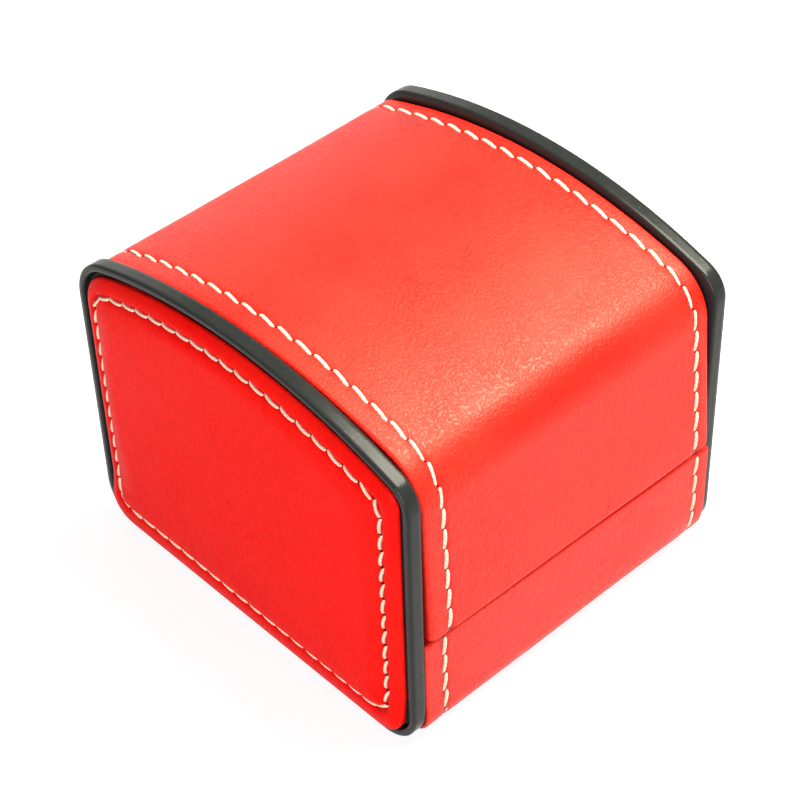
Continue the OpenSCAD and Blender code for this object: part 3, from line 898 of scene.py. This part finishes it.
lidLow, lidHigh = boxOf("lid_cover")
baseLow, baseHigh = boxOf("base_cover")
hingeLow, hingeHigh = boxOf("hinge_pin")

hingeGap = {
    "reach": 1.75,  # room for the knuckles above and below the hinge's axis
    "side": 0.4,
    "ramp": 9,  # length over which the leather makes up for the cut-away edge
}
hingeHalf = hingeHigh.x + hingeGap["side"]
hingeZ = (hingeLow.z + hingeHigh.z) / 2

lidCover = {
    **coverLook,
    "flare": 3.3,
    "frontRadius": 12.3,
    "backRadius": 6.4,
    "crownShift": 2.1,
    "flatten": 3.4,
    "left": lidLow.x + 0.35,
    "right": lidHigh.x,
    "sideRoll": 1.0,
    "endDepths": (1.4, 2.4, 3.8),
    "sideDepths": (1.8, 2.8, 3.8),
    "stepAlong": 0.75,
    "stepAcross": 1.3,
    "rowLeft": frameLow.x - 6.3,  # distances of the rows from the middle of the box
    "rowRight": frameLow.x - 4.6,
    "rowEnd": 1.0,
    "leanLeft": -0.3,  # how much further forward the lower front edge stands at each end
    "leanRight": 0.7,
    "leanSpan": (lidLow.z + 34, lidLow.z),
    "cornerReach": 2.6,
    "cornerLift": 0.8,
    "cornerSpan": (lidLow.z + 3, lidLow.z),
    "wobble": 0.16,
    "waveFrom": 0,
}
baseCover = {
    **coverLook,
    "radius": 7,
    "left": baseLow.x,
    "right": baseHigh.x,
    "sideRoll": 0.45,
    "endDepths": (2.0, 3.6, 5.4),
    "sideDepths": (0.8,),
    "stepAlong": 0.85,
    "stepAcross": 1.4,
    "rowLeft": frameLow.x - 5.2,
    "rowRight": frameLow.x - 3.9,
    "rowEnd": 0.8,
    "leanLeft": -0.4,
    "leanRight": 1.2,
    "leanSpan": (baseLow.z, baseLow.z + 12),
    "cornerReach": 1.6,
    "cornerLift": -0.5,
    "cornerSpan": (baseHigh.z - 3, baseHigh.z),
    "wobble": 0.12,
    "waveFrom": 40,
}


def lidPath():
    flare = radians(lidCover["flare"])
    corner, backCorner = lidCover["frontRadius"], lidCover["backRadius"]
    big = crownRadius + lidCover["flatten"]
    centre = Vector((-lidCover["crownShift"], lidHigh.z - big))
    rising = Vector((sin(flare), cos(flare)))
    foot = Vector((lidLow.y, lidLow.z))
    start = foot + corner * Vector((cos(flare), -sin(flare)))
    gap = start - centre
    run = -gap.dot(rising) + sqrt(gap.dot(rising) ** 2 - gap.dot(gap) + (big - corner) ** 2)
    front = start + run * rising
    back = cornerUnder(lidHigh.y - backCorner, backCorner, centre, big)
    frontEnd, backStart = headingOf(front, centre), headingOf(back, centre)
    turn = arc(front, corner, 180 - lidCover["flare"], frontEnd, 40)
    crown = arc(centre, big, frontEnd, backStart, 200)[1:-1]
    fall = arc(back, backCorner, backStart, 0, 30)
    end = (lidHigh.y, lidLow.z)
    foot = tuple(foot)
    rise = between(foot, turn[0], 100)
    return [foot] + rise + turn + crown + fall + between(fall[-1], end, 100) + [end]


def basePath():
    r = baseCover["radius"]
    start, end = (baseLow.y, baseHigh.z), (baseHigh.y, baseHigh.z)
    turn = arc((baseLow.y + r, baseLow.z + r), r, 180, 270, 30)
    rise = arc((baseHigh.y - r, baseLow.z + r), r, 270, 360, 30)
    return (
        [start] + between(start, turn[0], 60) + turn + between(turn[-1], rise[0], 160)
        + rise + between(rise[-1], end, 60) + [end]
    )


def coverRows(at, warp, move, rows):
    # the lines on a cover that its stitches follow
    lines = []
    for row in rows:
        places, outs = [], []
        steps = int((row["to"] - row["from"]) / 0.5)
        for i in range(steps + 1):
            distance = mix(row["from"], row["to"], i / steps)
            y, z, ny, nz = at(warp(row["x"], distance))
            dy, dz, sink = move(row["x"], distance, y, z)
            places.append((row["x"], y + dy - ny * sink, z + dz - nz * sink))
            outs.append((0, ny, nz))
        lines.append((places, outs, False, row["count"]))
    return lines


def dressWithLeather(body, cover, low, high, path, side, notch):
    at, length = pathReader(path, side)
    cover["fineAt"] = (-cover["rowLeft"], cover["rowRight"], -hingeHalf, hingeHalf)
    rows = [
        rowOf(x, cover["rowEnd"], length - cover["rowEnd"], cover["stitchPitch"])
        for x in cover["fineAt"][:2]
    ]
    warp, move = notched(length, notch), moverOf(cover, low, high, rows)
    leather = makeCover(body + "Leather", at, length, cover, warp, move)
    settle(leather, body, "red_leather", body + "_cover")
    print("leather laid", body, len(leather.data.polygons))
    return at, length, coverRows(at, warp, move, rows)


lidAt, lidLength, lidLines = dressWithLeather(
    "lid", lidCover, lidLow, lidHigh, lidPath(), 1, hingeGap["reach"] - (lidLow.z - hingeZ))
baseLines = dressWithLeather(
    "base", baseCover, baseLow, baseHigh, basePath(), -1, hingeGap["reach"] - (hingeZ - baseHigh.z))[2]


# ---- stitches

stitchLook = {
    "coverThread": 0.42,
    "panelThread": 0.38,
    "panelSink": 0.85,  # how deep a panel's row lies in its groove, as a share
    "panelCurl": 0.22,  # how far the middle of a panel's stitch stands in towards the panel
    "reach": 0.97,  # length of a stitch as a share of the pitch
    "slant": 9,
    "bow": 0.26,  # height of a stitch's middle above the leather
    "dip": 0.28,  # depth of its ends below the leather
    "sway": 3,
    "hole": 0.45,
}


def geo(tree, kind, inputs=None, **settings):
    return addNode(tree, "GeometryNode" + kind, inputs, **settings).outputs[0]


def startRow(name, inputs):
    # a node group that takes a line as well as the named inputs and spaces points evenly along it
    tree = bpy.data.node_groups.new(name, "GeometryNodeTree")
    tree.interface.new_socket(name="Geometry", in_out="OUTPUT", socket_type="NodeSocketGeometry")
    tree.interface.new_socket(name="Row", in_out="INPUT", socket_type="NodeSocketGeometry")
    sockets = {}
    for word, kind in inputs.items():
        socket = tree.interface.new_socket(name=word, in_out="INPUT", socket_type="NodeSocket" + kind)
        sockets[word] = socket.identifier
    given = addNode(tree, "NodeGroupInput").outputs
    curve = geo(tree, "MeshToCurve", {"Mesh": given["Row"]})
    even = geo(tree, "ResampleCurve", {"Curve": curve, "Count": given["Points"]})
    return tree, sockets, given, even


def turned(tree, heading):
    # X runs along the row and Z stands out of the leather
    out = geo(tree, "InputNamedAttribute", {"Name": "out"}, data_type="FLOAT_VECTOR")
    return addNode(tree, "FunctionNodeAxesToRotation", {
        "Primary Axis": out, "Secondary Axis": heading,
    }, primary_axis="Z", secondary_axis="X").outputs[0]


def finishRow(tree, instances, material):
    plain = geo(tree, "RealizeInstances", {"Geometry": instances})
    colored = geo(tree, "SetMaterial", {"Geometry": plain, "Material": material})
    addNode(tree, "NodeGroupOutput", {0: geo(tree, "SetShadeSmooth", {"Geometry": colored})})


def stitchTree():
    tree, sockets, given, even = startRow("stitchRow", {
        "Points": "Int", "Length": "Float", "Thread": "Float", "Side step": "Float", "Curl": "Float",
        "Bow": "Float", "Dip": "Float", "Sway": "Float", "Seed": "Int", "Material": "Material",
    })
    stored = geo(tree, "StoreNamedAttribute", {
        "Geometry": even, "Name": "heading", "Value": geo(tree, "InputTangent"),
    }, data_type="FLOAT_VECTOR", domain="POINT")
    wire = geo(tree, "CurveToMesh", {"Curve": stored})
    spots = geo(tree, "MeshToPoints", {"Mesh": wire}, mode="EDGES")
    heading = geo(tree, "InputNamedAttribute", {"Name": "heading"}, data_type="FLOAT_VECTOR")

    half, step = times(tree, given["Length"], 0.5), given["Side step"]
    back, backStep, low = (times(tree, value, -1.0) for value in (half, step, given["Dip"]))
    quarter, backQuarter = times(tree, half, 0.8), times(tree, half, -0.8)
    lift = times(tree, given["Bow"], 1.35)
    curl, backCurl = (plus(tree, given["Curl"], side) for side in (step, backStep))
    start, firstHandle, lastHandle, end = (
        addNode(tree, "ShaderNodeCombineXYZ", {"X": x, "Y": y, "Z": z}).outputs[0]
        for x, y, z in ((back, step, low), (backQuarter, curl, lift), (quarter, backCurl, lift),
                        (half, backStep, low))
    )
    bend = geo(tree, "CurvePrimitiveBezierSegment", {
        "Resolution": 16, "Start": start, "Start Handle": firstHandle,
        "End Handle": lastHandle, "End": end,
    }, mode="POSITION")
    share = geo(tree, "SplineParameter")
    marked = geo(tree, "StoreNamedAttribute", {
        "Geometry": geo(tree, "ResampleCurve", {"Curve": bend, "Count": 8}),
        "Name": "along", "Value": share,
    }, data_type="FLOAT", domain="POINT")
    off = mathOf(tree, "ABSOLUTE", mathOf(tree, "SUBTRACT", times(tree, share, 2.0), 1.0))
    slim = mathOf(tree, "SUBTRACT", 1.0, times(tree, mathOf(tree, "POWER", off, 6.0), 0.45))
    ring = geo(tree, "StoreNamedAttribute", {
        "Geometry": geo(tree, "CurvePrimitiveCircle", {"Resolution": 7, "Radius": given["Thread"]}),
        "Name": "around", "Value": share,
    }, data_type="FLOAT", domain="POINT")
    tube = geo(tree, "CurveToMesh", {
        "Curve": marked, "Profile Curve": ring, "Scale": slim, "Fill Caps": True,
    })
    placed = geo(tree, "InstanceOnPoints", {
        "Points": spots, "Instance": tube, "Rotation": turned(tree, heading),
    })
    angle = addNode(tree, "FunctionNodeRandomValue", {
        2: times(tree, given["Sway"], -1.0), 3: given["Sway"], "Seed": given["Seed"],
    }, data_type="FLOAT").outputs[1]
    tilt = addNode(tree, "ShaderNodeCombineXYZ", {"Z": angle}).outputs[0]
    swayed = geo(tree, "RotateInstances", {"Instances": placed, "Rotation": tilt})
    finishRow(tree, swayed, given["Material"])
    return tree, sockets


def holeShadeTree():
    # dark flattened balls along the row: painted shade at the needle holes
    tree, sockets, given, even = startRow("needleHoles", {
        "Points": "Int", "Hole": "Float", "Material": "Material",
    })
    ball = geo(tree, "MeshIcoSphere", {"Radius": given["Hole"], "Subdivisions": 1})
    placed = geo(tree, "InstanceOnPoints", {
        "Points": even, "Instance": ball, "Rotation": turned(tree, geo(tree, "InputTangent")),
        "Scale": (0.42, 1.05, 0.3),
    })
    finishRow(tree, placed, given["Material"])
    return tree, sockets


rowParts = (("stitches", creamThread, *stitchTree()), ("holes", needleHoleShade, *holeShadeTree()))


def growRow(name, places, outs, closed, count, seed, thread, curl):
    # turns a line on the leather into a row of stitches and dark ellipsoids of painted shade at its
    # needle holes
    edges = [(i, i + 1) for i in range(len(places) - 1)] + [(len(places) - 1, 0)] * closed
    full = sum((Vector(places[b]) - Vector(places[a])).length for a, b in edges)
    length = full / count * stitchLook["reach"]
    values = {
        "Points": count if closed else count + 1,
        "Length": length * mm,
        "Thread": thread * mm,
        "Curl": curl * mm,
        "Side step": length / 2 * sin(radians(stitchLook["slant"])) * mm,
        "Bow": stitchLook["bow"] * mm,
        "Dip": stitchLook["dip"] * mm,
        "Sway": radians(stitchLook["sway"]),
        "Seed": seed,
        "Hole": stitchLook["hole"] * mm,
    }
    made = []
    for word, material, tree, sockets in rowParts:
        mesh = bpy.data.meshes.new(name)
        mesh.from_pydata([Vector(p) * mm for p in places], edges, [])
        layer = mesh.attributes.new("out", "FLOAT_VECTOR", "POINT")
        layer.data.foreach_set("vector", [value for out in outs for value in out])
        piece = addObject(name + word.capitalize(), mesh)
        modifier = piece.modifiers.new(word, "NODES")
        modifier.node_group = tree
        for key, identifier in sockets.items():
            modifier[identifier] = material if key == "Material" else values[key]
        made.append(freeze(piece))
    return made


def joined(name, pieces):
    # one mesh from several, at the origin
    work = bmesh.new()
    for piece in pieces:
        work.from_mesh(piece.data)
    mesh = pieces[0].data.copy()
    work.to_mesh(mesh)
    work.free()
    for piece in pieces:
        bpy.data.objects.remove(piece)
    return addObject(name, mesh)


def makeRows(name, body, rows, seed, thread, curl=0):
    grown = [growRow(name + str(i), *row, seed + i, thread, curl) for i, row in enumerate(rows)]
    stitches, holes = zip(*grown)
    settle(joined(name + "Stitches", stitches), body, "thread")
    # the needle holes are painted shade
    settle(joined(name + "NeedleHoles", holes), body, "red_leather")


makeRows("lid", "lid", lidLines, 11, stitchLook["coverThread"])
makeRows("base", "base", baseLines, 21, stitchLook["coverThread"])
for side, word in ((-1, "Left"), (1, "Right")):
    row, lengths, count = panelRow()
    sunk = padLow.x - endPanel["grooveDepth"] * stitchLook["panelSink"]
    places = [(side * (sunk + panelHeight(endPanel["stitchIn"], z)), y, z) for y, z in row]
    makeRows("panel" + word, "base", [(places, [(side, 0, 0)] * len(row), True, count)], 31 + side,
             stitchLook["panelThread"], -side * stitchLook["panelCurl"])
print("stitches sewn")


# ---- tray, watch pad and ribbon

def roundRect(x0, x1, y0, y1, radius, steps=8, sideSteps=1):
    corners = [
        arc((x1 - radius, y0 + radius), radius, -90, 0, steps),
        arc((x1 - radius, y1 - radius), radius, 0, 90, steps),
        arc((x0 + radius, y1 - radius), radius, 90, 180, steps),
        arc((x0 + radius, y0 + radius), radius, 180, 270, steps),
    ]
    outline = []
    for i, corner in enumerate(corners):
        outline += corner + between(corner[-1], corners[(i + 1) % 4][0], sideSteps)
    return outline


def sheetRings(low, high, section, radius, least, *steps):
    # a rounded rectangle for every inset and height of a section
    rings = []
    for inset, z in section:
        outline = roundRect(low.x + inset, high.x - inset, low.y + inset, high.y - inset,
                            max(radius - inset, least), *steps)
        rings.append([(x, y, z) for x, y in outline])
    return rings


trayShape = {"wall": 1.5, "radius": 2.0, "fillet": 1.4, "sideSteps": 24}


def makeTray():
    low, high = boxOf("tray")
    wall, fillet = trayShape["wall"], trayShape["fillet"]
    half, floor = wall / 2, low.z + wall
    section = [(0.0, low.z)] + arc((half, high.z - half), half, 180, 0, 8)
    section += [(wall + fillet * b, floor + fillet * a) for a, b in quarterTurn(5)]
    rings = sheetRings(low, high, section, trayShape["radius"], 0.5, 6, trayShape["sideSteps"])
    return cappedPiece("trayVelvet", rings, blackVelvet)


settle(makeTray(), "base", "velvet", "tray")

watchPad = {"voxel": 1.4, "smoothing": 6, "nap": 0.12, "rim": 1.2, "cap": 0.5}


def makeWatchPad():
    # evened out and softened, swollen as cloth on its top, then given a fine unevenness
    piece = addObject("watchPadVelvet", cadNodes["watch_pad"].data.copy())
    work = bmesh.new()
    work.from_mesh(piece.data)
    bmesh.ops.remove_doubles(work, verts=work.verts, dist=0.005 * mm)
    work.to_mesh(piece.data)
    work.free()
    piece.data.materials.clear()
    piece.data.materials.append(blackVelvet)
    remesh = piece.modifiers.new("even", "REMESH")
    remesh.mode = "VOXEL"
    remesh.voxel_size = watchPad["voxel"] * mm
    soften = piece.modifiers.new("soften", "SMOOTH")
    soften.factor = 0.5
    soften.iterations = watchPad["smoothing"]
    freeze(piece)
    low, high = boxOf("watch_pad")
    rim = watchPad["rim"]
    held = []
    for vertex in piece.data.vertices:
        x, y, z = vertex.co / mm
        if z < high.z - rim or not (low.x + rim < x < high.x - rim and low.y + rim < y < high.y - rim):
            held.append(vertex.index)
    inflate(piece, held, watchPad["cap"])
    mesh = refined(piece, 1)
    normals = [v.normal.copy() for v in mesh.vertices]
    for vertex, normal in zip(mesh.vertices, normals):
        vertex.co += normal * noise.noise(vertex.co / mm * 0.12) * watchPad["nap"] * mm
    mesh.shade_smooth()
    return piece


pad = makeWatchPad()
settle(pad, "pad", "velvet", "watch_pad")

ribbonShape = {"thickness": 0.3, "pinch": 0.3, "wave": 0.2, "sag": 0.35}


def makePullRibbon():
    # a soft loop, drawn in where it enters the pad
    low, high = boxOf("pull_tab")
    mid, half = (low.y + high.y) / 2, ribbonShape["thickness"] / 2
    radius = (high.y - low.y) / 2 - half
    top, bottom = high.z - half - radius, low.z + 0.2
    leg = []
    for i in range(20):
        spread = mix(ribbonShape["pinch"], 1, smooth(i / 20, -0.2, 1))
        leg.append((radius * spread, mix(bottom, top, i / 20)))
    path = [(mid - y, z) for y, z in leg] + arc((mid, top), radius, 180, 0, 18)
    path += [(mid + y, z) for y, z in reversed(leg)]
    at, total = pathReader(path, 1)
    outline = roundRect(low.x, high.x, -half, half, half * 0.9, 3, 14)
    rings = []
    for i in range(61):
        y, z, ny, nz = at(total * i / 60)
        lean = ribbonShape["wave"] * sin(pi * min(max((z - low.z) / (high.z - low.z), 0), 1)) * 0.6
        sag = ribbonShape["sag"] * smooth(z, top - 3, top)
        rings.append([
            (x, y + ny * d + lean * sin(x * 0.5), z + nz * d - sag * (1 - (x / high.x) ** 2))
            for x, d in outline
        ])
    return cappedPiece("pullRibbon", rings, redRibbon)


settle(makePullRibbon(), "pad", "ribbon", "pull_tab")
print("tray and pad made")


# ---- lid lining

lidLining = {"outer": 3.85, "thickness": 0.95, "endLift": 1.6, "roll": 0.5, "stepAlong": 1.6}


def makeLining():
    low, high = boxOf("lid_lining")
    start, end = lidLining["endLift"], lidLength - lidLining["endLift"]
    roll, outer = lidLining["roll"], lidLining["outer"]
    inner = outer + lidLining["thickness"]
    turn, steps = quarterTurn(), 20
    section = [(low.x, outer)] + [(low.x + roll * b, inner - roll * a) for a, b in turn]
    section += [(mix(low.x + roll, high.x - roll, i / steps), inner) for i in range(1, steps)]
    section += [(high.x - roll * b, inner - roll * a) for a, b in reversed(turn)]
    section += [(high.x, outer)] + [(mix(high.x, low.x, i / steps), outer) for i in range(1, steps)]
    rings = []
    count = int((end - start) / lidLining["stepAlong"])
    for k in range(count + 1):
        y, z, ny, nz = lidAt(mix(start, end, k / count))
        rings.append([(x, y - ny * depth, z - nz * depth) for x, depth in section])
    return cappedPiece("lidVelvet", rings, blackVelvet)


settle(makeLining(), "lid", "velvet", "lid_lining")


# ---- velvet cheeks, felt and the recess's cup

softEdge = {"cheek": 0.32, "felt": 0.25, "feltCorner": 0.6}


def makeCheek(side, name):
    low, high = boxOf("end_lining_right")
    soft = softEdge["cheek"]
    section = [(high.x, low.z)] + [(low.x + soft * a, low.z + soft * b) for a, b in quarterTurn()]
    rings = []
    for x, inset in section + [(low.x, low.z + 2)]:
        rings.append([(side * x, y, z) for y, z in endOutline(inset, 8, 40, 16, 20)])
    return cappedPiece(name, rings, blackVelvet)


def makeFelt():
    low, high = boxOf("bottom_felt")
    soft = softEdge["felt"]
    section = [(0, high.z)] + [(soft * b, low.z + soft * a) for a, b in quarterTurn()] + [(2, low.z)]
    rings = sheetRings(low, high, section, softEdge["feltCorner"], 0.2, 5, 12)
    return cappedPiece("feltSheet", rings, blackFelt)


cup = {"wall": 0.8, "fillet": 1.3, "notchHalf": 9, "notchWall": 0.45, "ease": 2.5, "steps": 120}


def makeCup():
    # the wall stands round the watch and drops away at the notch for its bow
    low, high = boxOf("recess_cup")
    outer, wall, fillet = high.x, cup["wall"], cup["fillet"]
    inner, floor = outer - wall, low.z + wall
    edge = asin(cup["notchHalf"] / inner) * 180 / pi
    rings = []
    for i in range(cup["steps"]):
        angle = 360 * i / cup["steps"]
        away = abs((angle - 90 + 180) % 360 - 180)
        tall = mix(cup["notchWall"], high.z - floor, smooth(away, edge, edge + cup["ease"]))
        section = [(0, low.z), (outer * 0.5, low.z), (outer, low.z), (outer, floor + tall * 0.3)]
        section += arc((outer - wall / 2, floor + tall - wall / 2), wall / 2, 0, 180, 6)
        curve = min(fillet, (tall - wall / 2) * 0.6)
        section += [(inner - curve * b, floor + curve * a) for a, b in quarterTurn()]
        section += [(inner * 0.6, floor), (inner * 0.25, floor), (0, floor)]
        x, y = cos(radians(angle)), sin(radians(angle))
        rings.append([(x * r, (low.y + high.y) / 2 + y * r, z) for r, z in section])
    return lofted("cupVelvet", rings, skin(rings, False, True), blackVelvet)


for side, word in ((-1, "left"), (1, "right")):
    settle(makeCheek(side, "cheekVelvet" + word.capitalize()), "base", "velvet", "end_lining_" + word)
settle(makeFelt(), "base", "felt", "bottom_felt")
settle(makeCup(), "pad", "velvet", "recess_cup")
print("linings made")


# ---- finishes of the pieces that keep their CAD shape

finishes = (
    (blackBoard, "end_board_left", "end_board_right"),
    (rawBoard, "base_shell", "lid_shell"),
    (greyCard, "pad_riser_left", "pad_riser_right", "pad_board"),
    (brightSteel, "end_pins_left", "end_pins_right", "hinge_base_leaf", "hinge_base_rivets",
     "hinge_pin", "hinge_lid_leaf", "hinge_lid_rivets"),
)
for material, *names in finishes:
    for name in names:
        cadNodes[name].data.materials.clear()
        cadNodes[name].data.materials.append(material)
print("finishes given")
